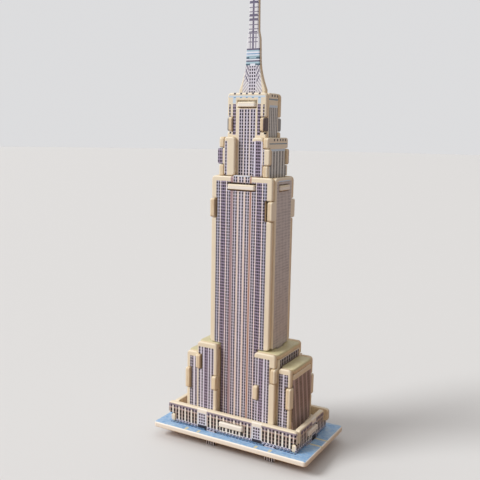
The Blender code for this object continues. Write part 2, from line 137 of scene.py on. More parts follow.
class Board:
    """The material of one kind of board, built up layer by layer as shader nodes.

    `across` runs along the board and `up` is the height above the base plate, both in
    millimetres; `aside` is the distance from the print's middle, and `depth` how far a point lies
    behind the printed face. A front board faces -Y or +Y, a side board -X or +X, a lying board +Z.
    """

    def __init__(self, name, facing, node, ground=CREAM, two_sided=False, middle=0.0):
        self.material = bpy.data.materials.new(name)
        self.material.use_nodes = True
        self.tree = self.material.node_tree
        self.shader = self.tree.nodes["Principled BSDF"]
        low, high = (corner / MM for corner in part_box(node))
        self.place = self.vector("SCALE", self.node("ShaderNodeTexCoord").outputs["Object"], 1 / MM)
        split = self.node("ShaderNodeSeparateXYZ")
        self.feed(split.inputs[0], self.place)
        x, y, z = split.outputs
        wobble = self.math("MULTIPLY_ADD", self.noise(self.place, 0.55, 2), 0.24, -0.12)
        if facing == "front":
            depth = self.math("SUBTRACT", max(-low.y, high.y), self.math("ABSOLUTE", y))
            across = self.math("MULTIPLY", x, self.math("MULTIPLY", self.math("SIGN", y), -1))
            up = self.math("SUBTRACT", z, PLATE_TOP)
        elif facing == "side":
            depth = self.math("SUBTRACT", max(-low.x, high.x), self.math("ABSOLUTE", x))
            across = self.math("MULTIPLY", y, self.math("SIGN", x))
            up = self.math("SUBTRACT", z, PLATE_TOP)
        else:
            depth = self.math("SUBTRACT", high.z, z)
            across, up = x, y
        if two_sided:
            depth = self.math("MINIMUM", depth, self.math("SUBTRACT", BOARD, depth))
        self.depth = depth
        self.across = self.math("ADD", across, wobble)
        self.up = self.math("ADD", up, wobble)
        self.aside = self.math("ABSOLUTE", self.math("SUBTRACT", self.across, middle))
        self.colour = ground

    # Short forms of the shader nodes. A value is a socket, a number or a colour.

    def node(self, kind, **settings):
        made = self.tree.nodes.new(kind)
        for key, value in settings.items():
            setattr(made, key, value)
        return made

    def feed(self, socket, value):
        if isinstance(value, bpy.types.NodeSocket):
            self.tree.links.new(value, socket)
        else:
            socket.default_value = value

    def math(self, operation, *values):
        made = self.node("ShaderNodeMath", operation=operation)
        for socket, value in zip(made.inputs, values):
            self.feed(socket, value)
        return made.outputs[0]

    def vector(self, operation, first, second):
        made = self.node("ShaderNodeVectorMath", operation=operation)
        self.feed(made.inputs[0], first)
        self.feed(made.inputs["Scale"] if operation == "SCALE" else made.inputs[1], second)
        return made.outputs[0]

    def mix(self, share, first, second):
        made = self.node("ShaderNodeMix", data_type="RGBA")
        for index, value in ((0, share), (6, first), (7, second)):
            self.feed(made.inputs[index], value)
        return made.outputs[2]

    def noise(self, place, scale, detail=2.0, roughness=0.5):
        made = self.node("ShaderNodeTexNoise")
        for name, value in (("Vector", place), ("Scale", scale), ("Detail", detail),
                            ("Roughness", roughness)):
            self.feed(made.inputs[name], value)
        return made.outputs[0]

    def ramp(self, position, stops, interpolation="LINEAR"):
        made = self.node("ShaderNodeValToRGB")
        self.feed(made.inputs[0], position)
        made.color_ramp.interpolation = interpolation
        elements = made.color_ramp.elements
        elements.remove(elements[1])
        elements[0].position, elements[0].color = stops[0]
        for place, colour in stops[1:]:
            elements.new(place).color = colour
        return made.outputs[0]

    def stretch(self, value, low, high):
        """0 at low, 1 at high, straight in between."""
        made = self.node("ShaderNodeMapRange")
        for index, item in enumerate((value, low, high)):
            self.feed(made.inputs[index], item)
        return made.outputs[0]

    # Masks: 1 where the paint goes, else 0.

    def within(self, value, low, high):
        return self.math("COMPARE", value, (low + high) / 2, (high - low) / 2)

    def both(self, first, second):
        return self.math("MULTIPLY", first, second)

    def area(self, across=None, up=None, signed=False):
        """A rectangle, or a band when one limit is left out; across is `aside` unless signed."""
        value = self.across if signed else self.aside
        if up is None:
            return self.within(value, *across)
        if across is None:
            return self.within(self.up, *up)
        return self.both(self.within(value, *across), self.within(self.up, *up))

    def strips(self, value, centres, width):
        """Strips of one width about the centres, counted along the value."""
        low, high = min(centres) - width, max(centres) + width
        stops = [(0.0, BLACK)]
        for centre in sorted(centres):
            stops.append(((centre - width / 2 - low) / (high - low), WHITE))
            stops.append(((centre + width / 2 - low) / (high - low), BLACK))
        return self.ramp(self.stretch(value, low, high), stops, "CONSTANT")

    def columns(self, centres, width, signed=False):
        return self.strips(self.across if signed else self.aside, centres, width)

    def levels(self, centres, height):
        return self.strips(self.up, centres, height)

    def repeat(self, value, pitch, width, start=0.0):
        """Strips at an even pitch, the first one about the start."""
        turns = self.math("DIVIDE", self.math("SUBTRACT", value, start - width / 2), pitch)
        return self.math("LESS_THAN", self.math("FRACT", turns), width / pitch)

    def rows(self, pitch, height, start=0.0):
        return self.repeat(self.up, pitch, height, start)

    # Layers of paint.

    def paint(self, mask, colour):
        self.colour = self.mix(mask, self.colour, colour)

    def fill(self, colour, **where):
        self.paint(self.area(**where), colour)

    def bands(self, reach, edges, **where):
        """Upright bands; each edge is (start, colour), counted from the middle."""
        position = self.math("DIVIDE", self.aside, reach)
        stops = [(start / reach, colour) for start, colour in edges]
        self.fill(self.ramp(position, stops, "CONSTANT"), **where)

    def windows(self, mask, dark=GLASS, light=GLASS_LIGHT, cell=(1.2, ROW), **where):
        """Paint the windows of the mask, each cell with its own darkness."""
        number = self.node("ShaderNodeCombineXYZ")
        for index, (value, size) in enumerate(zip((self.across, self.up), cell)):
            self.feed(number.inputs[index], self.math("FLOOR", self.math("DIVIDE", value, size)))
        chance = self.node("ShaderNodeTexWhiteNoise", noise_dimensions="2D")
        self.feed(chance.inputs["Vector"], number.outputs[0])
        glass = self.mix(chance.outputs["Value"], dark, light)
        self.paint(self.both(mask, self.area(**where)) if where else mask, glass)

    def glaze(self, columns, sill=SILL, **where):
        """Columns of windows, one to a row, with sills between them."""
        self.paint(self.both(columns, self.area(**where)), sill)
        self.windows(self.both(columns, self.rows(ROW, WINDOW)), **where)

    # The board itself.

    def wood(self):
        """Bare plywood: three plies with glue lines on the edges, long grain on the back."""
        grain_place = self.vector("MULTIPLY", self.place, (1.0, 1.0, 0.12))
        grain = self.noise(grain_place, 1.6, 5, 0.62)
        fleck = self.noise(self.place, 4.0, 3, 0.6)
        veneer = self.mix(self.stretch(grain, 0.35, 0.68), PLY, PLY_DARK)
        ply = self.math("DIVIDE", self.depth, BOARD)
        line = self.ramp(ply, [(0.0, BLACK), (0.34, BLACK), (0.37, WHITE), (0.41, HALF_GREY),
                               (0.62, HALF_GREY), (0.66, WHITE), (0.70, BLACK)])
        line = self.math("MULTIPLY", line, self.stretch(fleck, 0.2, 0.7))
        return self.mix(self.math("MULTIPLY", line, 0.45), veneer, PLY_GLUE)

    def finish(self, roughness=0.42, edge=None, coat=COAT_DEPTH):
        """Blend paint and wood, and set roughness and bump; the edge may have its own paint."""
        if edge:
            self.paint(self.math("GREATER_THAN", self.depth, PRINT_DEPTH), edge)
            coat = EDGE_DEPTH
        tone = self.noise(self.place, 0.12, 3)
        speckle = self.noise(self.place, 2.6, 4, 0.65)
        grain = self.noise(self.vector("MULTIPLY", self.place, (1.0, 1.0, 0.08)), 2.2, 4, 0.6)
        paint = self.mix(self.math("MULTIPLY", self.stretch(speckle, 0.45, 0.8), 0.10),
                         self.colour, SPECK)
        paint = self.mix(self.math("MULTIPLY", self.stretch(tone, 0.35, 0.75), 0.06), paint, STAIN)
        ragged = self.math("MULTIPLY_ADD", speckle, 0.5, coat - 0.25)
        bare = self.stretch(self.math("SUBTRACT", self.depth, ragged), 0.0, 0.18)
        self.feed(self.shader.inputs["Base Color"], self.mix(bare, paint, self.wood()))

        painted = self.math("MULTIPLY_ADD", speckle, 0.22, roughness - 0.08)
        unpainted = self.math("MULTIPLY_ADD", grain, 0.25, 0.58)
        rough = self.node("ShaderNodeMix", data_type="FLOAT")
        for index, value in ((0, bare), (2, painted), (3, unpainted)):
            self.feed(rough.inputs[index], value)
        self.feed(self.shader.inputs["Roughness"], rough.outputs[0])

        bump = self.node("ShaderNodeBump")
        self.feed(bump.inputs["Strength"], 0.35)
        self.feed(bump.inputs["Distance"], 0.06 * MM)
        self.feed(bump.inputs["Height"], self.math("ADD", grain, self.math("MULTIPLY", speckle, 0.4)))
        self.feed(self.shader.inputs["Normal"], bump.outputs[0])
        return self.material


# Facades. Heights and places are those of the print, in millimetres.

FOOT_OF_PRINT = -13.0       # below every board


def shaft_facade():
    """Upright bands and columns of windows between cream margins, higher in the middle."""
    board = Board("shaft_facade_paint", "front", "shaft_front")
    top = 148.2
    crest, crest_half = 151.2, 5.5          # top and half width of the higher middle
    reach = 20.0                            # of the bands, from the middle
    whole = (FOOT_OF_PRINT, top)
    strips = [(0.0, LILAC_GREY), (1.45, PINK_CREAM), (2.6, LILAC_GREY), (5.2, PINK_CREAM),
              (6.7, LILAC_GREY), (9.1, LINE), (9.9, PURPLE), (13.05, LINE), (13.75, BLUE_GREY),
              (16.3, CREAM)]
    board.bands(reach, strips, up=whole)
    board.bands(reach, strips, across=(-0.1, crest_half), up=(top - 0.1, crest))
    board.fill(DUSTY_PINK, across=(-6.9, -5.45), up=(FOOT_OF_PRINT, crest), signed=True)
    board.fill(SALMON, across=(5.5, 6.45), up=(FOOT_OF_PRINT, crest), signed=True)
    board.glaze(board.columns((7.4, 8.8, 14.25, 15.75), 0.98), up=whole)
    board.glaze(board.columns((10.45, 11.55, 12.65), 0.88), PURPLE, up=whole)
    board.glaze(board.columns((0.85, 3.15, 4.65), 1.0), up=(FOOT_OF_PRINT, 151.0))
    board.fill(PALE_BLUE, across=(-0.1, crest_half), up=(151.0, 152.0))
    return board.finish()


def side_print(board, half, top, ground, glass):
    """Fine rows of small windows, as far apart across as up."""
    whole = {"across": (-0.1, half), "up": (FOOT_OF_PRINT, top)}
    board.fill(ground, **whole)
    pane = ROW * 0.6
    grid = board.both(board.repeat(board.across, ROW, pane), board.rows(ROW, pane))
    board.windows(grid, glass, ground, (ROW, ROW), **whole)


def streaks(board, half, span, pitch, width, slant, share, colour):
    """Upright streaks that lean away from the front towards their foot."""
    leaning = board.math("MULTIPLY_ADD", board.up, slant, board.across)
    mask = board.both(board.repeat(leaning, pitch, width), board.area((-0.1, half), span))
    board.paint(board.math("MULTIPLY", mask, share), colour)


def shaft_side_facade():
    board = Board("shaft_side_paint", "side", "shaft_right")
    half, top = 9.2, 148.7
    side_print(board, half, top, SIDE_GROUND, SIDE_GLASS)
    streaks(board, half, (0.0, top), pitch=4.2, width=0.7, slant=0.08, share=0.35,
            colour=SIDE_GLASS)
    board.fill(SKY_BAND, across=(-0.1, 7.2), up=(top, 149.3))
    return board.finish()


def outer_wing_facade():
    """Columns of windows in pairs; a left and a right wing differ a little."""
    board = Board("outer_wing_paint", "front", "outer_wing_left_front")
    whole = (FOOT_OF_PRINT, 42.0)
    for start, end in ((-32.5, -26.9), (27.3, 33.1)):
        board.fill(LILAC_GREY, across=(start, end), up=whole, signed=True)
    centres = (-31.9, -30.7, -28.3, 27.9, 29.1, 31.2, 32.45)
    board.glaze(board.columns(centres, 0.98, signed=True), up=whole)
    return board.finish()


def inner_wing_facade():
    """Columns of windows on a pale ground, with a purple band along the middle."""
    board = Board("inner_wing_paint", "front", "inner_wing_left_front")
    whole = (FOOT_OF_PRINT, 49.6)
    for start, end, colour in ((-24.9, -14.3, LILAC_GREY), (-20.9, -18.3, PURPLE),
                               (12.4, 22.3, LILAC_GREY), (15.6, 18.3, PURPLE)):
        board.fill(colour, across=(start, end), up=whole, signed=True)
    centres = (-24.3, -22.3, -17.2, -15.3, 12.9, 14.4, 19.8, 21.6)
    board.glaze(board.columns(centres, 1.0, signed=True), up=whole)
    board.glaze(board.columns((-20.1, -19.0, 16.3, 17.6), 0.9, signed=True), PURPLE, up=whole)
    return board.finish()


def outer_wing_side_facade():
    """Dark grey-brown with broad leaning streaks under a cream head."""
    board = Board("outer_wing_side_paint", "side", "outer_wing_left_side")
    half, top = 12.5, 38.5
    side_print(board, half, top, WING_SIDE_GROUND, WING_SIDE_GLASS)
    streaks(board, half, (0.0, top), pitch=5.4, width=1.8, slant=0.16, share=0.7,
            colour=STREAK)
    return board.finish()


def inner_wing_side_facade():
    """Pairs of dark windows between pale dividers, above the outer wing's roof."""
    board = Board("inner_wing_side_paint", "side", "inner_wing_left_outer_side")
    half, top = 12.5, 48.8
    side_print(board, half, top, WING_SIDE_GROUND, WING_SIDE_GLASS)
    pitch = 3.1
    pairs = board.both(board.repeat(board.across, pitch, 2.1), board.levels((45.95, 47.85), 1.3))
    board.windows(pairs, GLASS, GLASS_LIGHT, (pitch / 2, 1.9), across=(-0.1, half))
    divider = board.both(board.repeat(board.across, pitch, 0.5, pitch / 2),
                         board.area((-0.1, half), (45.0, top)))
    board.paint(divider, LILAC_GREY)
    return board.finish()


def tier_facade():
    """Left half nearly plain with one column of windows, right half with a purple band."""
    board = Board("tier_paint", "front", "tier_front_left")
    low, head = 150.0, 170.6
    board.fill(LILAC_GREY, across=(-11.8, -10.2), up=(low, head), signed=True)
    board.glaze(board.columns((-11.0,), 0.9, signed=True), up=(low, head))
    board.fill(PURPLE, across=(-17.0, -13.1), up=(157.2, 167.0), signed=True)
    tab = board.columns((-15.9, -14.7, -13.6), 0.78, signed=True)
    board.glaze(tab, PURPLE, up=(157.5, 166.6))
    board.fill(LILAC_GREY, across=(5.5, 12.2), up=(low, head), signed=True)
    board.fill(PURPLE, across=(7.9, 11.2), up=(low, head + 0.4), signed=True)
    board.glaze(board.columns((6.4,), 0.95, signed=True), up=(low, head))
    board.glaze(board.columns((8.55, 9.6, 10.65), 0.85, signed=True), PURPLE, up=(low, head + 0.4))
    board.fill(LILAC_GREY, across=(12.5, 13.4), up=(157.6, 166.4), signed=True)
    board.glaze(board.columns((12.95,), 0.7, signed=True), up=(157.9, 166.0))
    return board.finish()


def ribbed_side(board, half, top, centres, width):
    """Dark columns of small windows with a pale line between two of them."""
    whole = {"across": (-0.1, half), "up": (FOOT_OF_PRINT, top)}
    board.fill(RIB, **whole)
    columns = board.columns(centres, width, signed=True)
    board.paint(board.both(columns, board.area(**whole)), RIB_GLASS)
    dots = board.both(board.columns(centres, width * 0.5, signed=True), board.rows(ROW, 1.1))
    board.windows(dots, SIDE_DARK, RIB_GLASS, **whole)


def tier_side_facade():
    board = Board("tier_side_paint", "side", "tier_right_side")
    columns = (-8.7, -5.1, -1.5, 2.1, 5.7, 9.3)
    ribbed_side(board, half=10.4, top=165.4, centres=columns, width=2.2)
    board.fill(SKY_BAND, across=(-0.1, 9.4), up=(165.4, 166.6))
    board.fill(SIDE_BLUE, across=(-0.1, 11.0), up=(169.2, 169.8))
    small = board.both(board.columns((-5.0, -1.3, 2.5, 5.6, 8.9), 1.4, signed=True),
                       board.area(up=(170.9, 172.2)))
    board.paint(small, SIDE_DARK)
    return board.finish()


def crown_facade():
    """Pairs of window columns, purple columns beside them, and a blue line under the cornice."""
    board = Board("crown_paint", "front", "crown_front")
    whole = (140.0, 188.3)
    for start, end in ((-4.75, -1.7), (-1.4, 1.95), (2.4, 5.7)):
        board.fill(LILAC_GREY, across=(start, end), up=whole, signed=True)
    for start, end in ((-1.75, -1.3), (2.0, 2.5)):
        board.fill(PINK_CREAM, across=(start, end), up=whole, signed=True)
    board.glaze(board.columns((-3.95, -2.5, -0.6, 1.2, 3.25, 4.9), 1.05, signed=True), up=whole)
    board.fill(PURPLE, across=(6.8, 8.8), up=(174.0, 191.0))
    board.glaze(board.columns((7.3, 8.3), 0.8), PURPLE, up=(174.3, 190.8))
    board.glaze(board.columns((10.75,), 0.95), up=(183.8, 190.8))
    board.fill(SKY_BAND, across=(7.0, 8.9), up=(191.3, 195.0))
    board.fill(SKY_BAND, across=(-0.1, 11.5), up=(194.6, 195.6))
    small = board.columns((-7.8, -3.8, -0.1, 3.7, 7.9), 1.3, signed=True)
    board.paint(board.both(small, board.area(up=(194.3, 194.9))), SKY_LINE)
    board.paint(board.both(small, board.area(up=(196.2, 197.3))), GLASS_LIGHT)
    for centre in (-10.2, 8.2, 11.7):
        board.fill(GLASS, across=(centre - 0.6, centre + 0.6), up=(174.6, 175.6), signed=True)
    return board.finish()


def crown_side_facade():
    board = Board("crown_side_paint", "side", "crown_right")
    ribbed_side(board, half=5.4, top=189.3, centres=(-4.4, -2.2, 0.0, 2.2, 4.4), width=1.3)
    # The tabs beside the ribs: one grey and one dark.
    near, far = 5.9, 12.0
    tab = (176.3, 183.5)
    board.fill(RIB_GLASS, across=(near, far), up=tab, signed=True)
    board.fill(WING_SIDE_GLASS, across=(-far, -near), up=tab, signed=True)
    board.fill(SKY_BAND, across=(-0.1, 4.8), up=(189.3, 190.6))
    board.fill(SIDE_BLUE, across=(-0.1, 5.6), up=(193.4, 194.1))
    small = board.both(board.columns((-2.0, 1.3, 4.6), 1.4, signed=True),
                       board.area(up=(195.1, 196.4)))
    board.paint(small, SIDE_DARK)
    return board.finish()


def podium_facade(name, facing, node, middle, entrances, canopy, pilasters=WHITE_CREAM,
                  plain_end=None):
    """Pilasters with three rows of windows, a fine row above, and a shopfront strip below."""
    board = Board(name, facing, node, middle=middle)
    bay = 4.48
    first = 21.5                            # first pilaster outside the entrances
    far = 60.0                              # past the end of every wall
    whole = (-0.1, far)
    street_top = 2.0
    board.fill(FRIEZE, across=whole, up=(9.0, 11.5))
    board.fill(SPANDREL, across=whole, up=(street_top, 8.9))
    mullion = board.repeat(board.aside, bay, 0.6, first + bay / 2)
    board.paint(board.both(mullion, board.area(up=(street_top, 9.4))), PINK_CREAM)
    panes = board.repeat(board.aside, bay / 2, 1.5, first + bay / 4)
    board.windows(board.both(panes, board.levels((3.0, 5.2, 7.4), 1.75)),
                  GLASS_BROWN, GLASS, (bay / 2, 2.2))
    board.windows(board.repeat(board.aside, bay / 2, 1.2, first + bay / 4),
                  GLASS, FRIEZE_GLASS, (bay / 2, 3.0), up=(9.3, 10.7))
    pilaster = board.repeat(board.aside, bay, 1.05, first)
    board.paint(board.both(pilaster, board.area(up=(1.4, 10.2))), pilasters)
    # The strip along the street.
    board.fill(LILAC_GREY, across=whole, up=(FOOT_OF_PRINT, street_top))
    for offset, low, high in ((0.4, 1.15, 1.75), (0.0, 0.2, 0.9)):
        dashes = board.repeat(board.across, 2.2, 1.7, offset)
        board.windows(dashes, GLASS, DOOR_BLUE, (1.1, 3.0), across=whole, up=(low, high))
    # Under the canopy.
    board.fill(WHITE_CREAM, across=canopy, up=(1.6, 4.6), signed=True)
    arcade = board.columns((-6.6, -4.6, -1.9, 0.1, 2.4, 4.4, 6.9), 1.3, signed=True)
    board.windows(arcade, GLASS_BROWN, GLASS, (1.0, 3.0), across=canopy, up=(2.1, 4.5),
                  signed=True)
    for start, end in entrances:
        surround = (start - 0.4, end + 0.4)
        board.fill(ENTRANCE, across=surround, up=(1.2, 10.0), signed=True)
        board.fill(LILAC_GREY, across=(start + 0.9, end - 0.9), up=(1.4, 9.7), signed=True)
        board.fill(WHITE_CREAM, across=surround, up=(9.8, 12.5), signed=True)
        centre = (start + end) / 2
        narrow = board.columns((centre - 1.55, centre, centre + 1.55), 1.05, signed=True)
        board.windows(board.both(narrow, board.rows(ROW, WINDOW)), GLASS, FRIEZE_GLASS,
                      up=(2.6, 9.5))
        board.fill(DOOR, across=(start, end + 0.6), up=(-0.7, 2.4), signed=True)
    if plain_end:
        board.fill(CREAM, across=(plain_end, far), up=(4.8, 13.0))
    # The feet carry a grille between white columns.
    foot = (FOOT_OF_PRINT, -2.9)
    board.fill(GLASS, up=foot)
    board.paint(board.both(board.repeat(board.across, 1.5, 0.6), board.area(up=foot)), PALE_BLUE)
    return board.finish(edge=CREAM)


def roof_paint(name, node, border=None):
    """Pale yellow-cream wash; a border of that width stays the colour of the walls."""
    board = Board(name, "lying", node, ground=CREAM if border else ROOF_PAINT)
    wash = board.noise(board.place, 0.25, 4, 0.6)
    washed = board.mix(board.stretch(wash, 0.3, 0.75), ROOF_PAINT, ROOF_WASH)
    if border:
        low, high = (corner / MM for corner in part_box(node))
        board.fill(washed, across=(-0.1, high.x - border), up=(low.y + border, high.y - border))
    else:
        board.colour = washed
    return board.finish(edge=WHITE_CREAM if border else None)


def base_paint():
    """Watercolour water with cream walkways from the wall to the rim."""
    board = Board("base_plate_paint", "lying", "base_plate", ground=WHITE_CREAM)
    wash = board.noise(board.place, 0.16, 5, 0.6)
    brush = board.noise(board.vector("MULTIPLY", board.place, (0.35, 1.0, 1.0)), 1.3, 5, 0.7)
    water = board.mix(board.stretch(wash, 0.35, 0.7), WATER, WATER_DEEP)
    water = board.mix(board.stretch(brush, 0.45, 0.75), water, SKY_BAND)
    low, high = (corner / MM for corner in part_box("base_plate"))
    board.fill(water, across=(-0.1, high.x - 0.6), up=(low.y + 0.6, high.y - 0.6))
    wall_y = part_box("podium_front_wall")[0].y / MM
    wall_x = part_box("podium_right_wall")[1].x / MM
    for centre in (-28.2, -19.7, 18.8, 27.8):
        for span in ((low.y + 0.9, wall_y - 2.6), (2.6 - wall_y, high.y - 0.9)):
            board.fill(SAND, across=(centre - 0.9, centre + 0.9), up=span, signed=True)
    for centre in (-5.3, 3.0):
        board.fill(SAND, across=(wall_x, high.x), up=(centre - 0.7, centre + 0.7))
    # A dark dashed line on the plate where the street meets the front and back walls: printed dashes,
    # and painted contact shade in the gap under the walls.
    dashes_and_contact_shade = board.both(board.repeat(board.across, 2.2, 1.8),
                      board.within(board.math("ABSOLUTE", board.up), -wall_y, 0.9 - wall_y))
    board.paint(board.both(dashes_and_contact_shade, board.area((-0.1, wall_x))), DOOR_BLUE)
    return board.finish(roughness=0.36, edge=WHITE_CREAM)


def spire_foot_print(board):
    """Dotted columns between hatched buttresses, with leaning braces at the neck."""
    low, top = 193.0, 212.4
    spread = board.math("MULTIPLY_ADD", board.up, 0.8, board.aside)
    hatch = board.both(board.repeat(spread, 1.7, 0.8), board.area((2.3, 8.0), (low, top)))
    board.paint(hatch, PURPLE_GREY)
    board.fill(LILAC_GREY, across=(-0.1, 2.3), up=(low, top))
    dots = board.both(board.columns((0.0, 1.45), 0.85), board.rows(ROW, 1.15))
    board.windows(dots, across=(-0.1, 2.2), up=(low, top))
    slope = board.math("MULTIPLY_ADD", board.up, -0.5, board.aside)
    braces = board.both(board.repeat(slope, 1.8, 0.7), board.area((2.3, 4.4), (203.5, top)))
    board.paint(braces, MAST_LILAC)
    # Outside the straight buttresses the flared board is left cream.
    slant = board.math("MULTIPLY_ADD", board.up, 0.13, board.aside)
    margin = board.both(board.math("GREATER_THAN", slant, 32.1), board.area(up=(low, top)))
    board.paint(margin, CREAM)


def spire_paint():
    """A dotted and hatched foot, a banded ring, and a lattice mast."""
    board = Board("spire_paint", "front", "spire_board", ground=MAST_WHITE, two_sided=True)
    spire_foot_print(board)
    # Ring: level bands, each (bottom, top, colour).
    for low, high, colour in ((212.4, 213.3, TEAL), (213.3, 214.3, TEAL_LIGHT),
                              (214.3, 215.1, MAST_LILAC), (215.1, 215.8, PALE_BLUE),
                              (215.8, 217.0, TEAL), (217.0, 217.7, TEAL_LIGHT),
                              (217.7, 218.3, PALE_BLUE), (218.3, 218.9, SKY_LINE),
                              (218.9, 219.8, PALE_BLUE), (219.8, 220.6, TEAL_LIGHT),
                              (220.6, 221.5, MAST_LILAC)):
        board.fill(colour, up=(low, high))
    board.fill(TEAL_LIGHT, across=(-0.1, 2.2), up=(216.1, 216.8))
    board.fill(PALE_BLUE, across=(-0.1, 1.6), up=(212.0, 213.3))
    # Mast: a middle post, short posts beside it, and rungs at an even pitch.
    foot, top = 221.4, 281.0
    board.fill(MAST_LILAC, across=(-0.1, 0.55), up=(foot, top))
    posts = board.columns((1.75,), 0.5)
    board.paint(board.both(posts, board.area(up=(foot, 229.8))), RUNG)
    light = board.both(board.repeat(board.up, 2.3, 0.5, 225.0),
                       board.area((-0.1, 2.9), (224.0, top)))
    board.paint(light, RUNG)
    for start in (237.1, 239.4):
        bold = board.both(board.repeat(board.up, 9.2, 0.95, start),
                          board.area((-0.1, 2.6), (230.0, top)))
        board.paint(bold, MAST_LILAC)
    return board.finish(coat=0.55)


def bare_paint(name, node, facing, wash):
    """A thin wash on bare plywood."""
    return Board(name, facing, node, ground=wash).finish(roughness=0.55, edge=wash)


# Geometry of a board.

def plane_loops(mesh, axis, level):
    """The closed outlines of the mesh's flat face at that level along the axis."""
    same_place = 0.01 * MM
    work = bmesh.new()
    work.from_mesh(mesh)
    bmesh.ops.remove_doubles(work, verts=work.verts, dist=same_place)
    on_plane = set()
    for face in work.faces:
        if all(abs(corner.co[axis] - level) < same_place for corner in face.verts):
            on_plane.add(face)
    following = {}
    for face in on_plane:
        for loop in face.loops:
            if sum(other in on_plane for other in loop.edge.link_faces) == 1:
                following[loop.vert] = loop.link_loop_next.vert
    loops = []
    while following:
        start = next(iter(following))
        points, here = [], start
        while here in following:
            points.append(here.co.copy())
            here = following.pop(here)
        loops.append(points)
    work.free()
    return loops


def flat(point, axis):
    """The two coordinates across the board, turned so that the loops keep their direction."""
    first, second = (axis + 1) % 3, (axis + 2) % 3
    return Vector((point[first], point[second]))


def without_straight_points(points):
    """The outline's points at which it turns."""
    kept = []
    for index, point in enumerate(points):
        before, after = points[index - 1], points[(index + 1) % len(points)]
        cross = (point - before).cross(after - point)
        if abs(cross) > 1e-4 * MM * MM:
            kept.append(point)
    return kept


def corner_inset(points, index):
    """The step towards the board's inside for an inset of one unit, and the largest inset."""
    before, here, after = points[index - 1], points[index], points[(index + 1) % len(points)]
    arriving, leaving = (here - before), (after - here)
    lengths = arriving.length, leaving.length
    arriving.normalize()
    leaving.normalize()
    normal_in = Vector((-arriving.y, arriving.x))
    normal_out = Vector((-leaving.y, leaving.x))
    step = (normal_in + normal_out) / (1 + normal_in.dot(normal_out))
    bend = arriving.cross(leaving)
    along = abs(step.cross(normal_in))
    most = 1.0
    if bend > 0 and along > 1e-6:
        most = 0.48 * min(lengths) / along
    return step, most


def rounded_board(node):
    """A copy of a board with soft rims, made from the outline of its flat faces."""
    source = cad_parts[node]
    low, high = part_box(node)
    size = high - low
    axis = min(range(3), key=lambda number: size[number])
    outward = 1 if (low + high)[axis] > 0 or axis == 2 else -1
    face_level = high[axis] if outward > 0 else low[axis]
    back_level = low[axis] if outward > 0 else high[axis]
    loops = plane_loops(source.data, axis, high[axis])
    face_rim = [(FACE_RIM * MM, shares) for shares in quarter_round()]
    back_rim = [(BACK_RIM * MM, shares) for shares in reversed(quarter_round())]

    work = bmesh.new()
    rings_of_loops = []
    for points_3d in loops:
        points = without_straight_points([flat(point, axis) for point in points_3d])
        steps = [corner_inset(points, index) for index in range(len(points))]
        rings = []
        for rim, level, sign in ((face_rim, face_level, -outward),
                                 (back_rim, back_level, outward)):
            for radius, (inward, down) in rim:
                ring = []
                for point, (step, most) in zip(points, steps):
                    width = min(radius, most)
                    place = point + step * width * inward
                    corner = Vector((0, 0, 0))
                    corner[axis] = level + sign * width * down
                    corner[(axis + 1) % 3], corner[(axis + 2) % 3] = place
                    ring.append(work.verts.new(corner))
                rings.append(ring)
        for ring, further in zip(rings, rings[1:]):
            for index in range(len(ring)):
                following = (index + 1) % len(ring)
                work.faces.new((ring[index], ring[following], further[following], further[index]))
        rings_of_loops.append(rings)
    for end in (0, -1):
        outlines = [[corner.co for corner in rings[end]] for rings in rings_of_loops]
        corners = [corner for rings in rings_of_loops for corner in rings[end]]
        for triangle in tessellate_polygon(outlines):
            work.faces.new([corners[index] for index in triangle])
    bmesh.ops.recalc_face_normals(work, faces=work.faces)
    mesh = bpy.data.meshes.new(node + "_board")
    work.to_mesh(mesh)
    work.free()
    return mesh


def quarter_round():
    """(inset, depth) shares round a rim, from the flat face to the board's edge."""
    angles = [step / RIM_STEPS * pi / 2 for step in range(RIM_STEPS + 1)]
    return [(1 - sin(angle), 1 - cos(angle)) for angle in angles]


def make_board(node, material):
    piece = bpy.data.objects.new(node + "_board", rounded_board(node))
    bpy.context.scene.collection.objects.link(piece)
    piece.data.materials.append(material)
    piece.data.shade_smooth()
    weighted = piece.modifiers.new("even_flats", "WEIGHTED_NORMAL")
    weighted.keep_sharp = True
    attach(piece, "root")
    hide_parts(node)


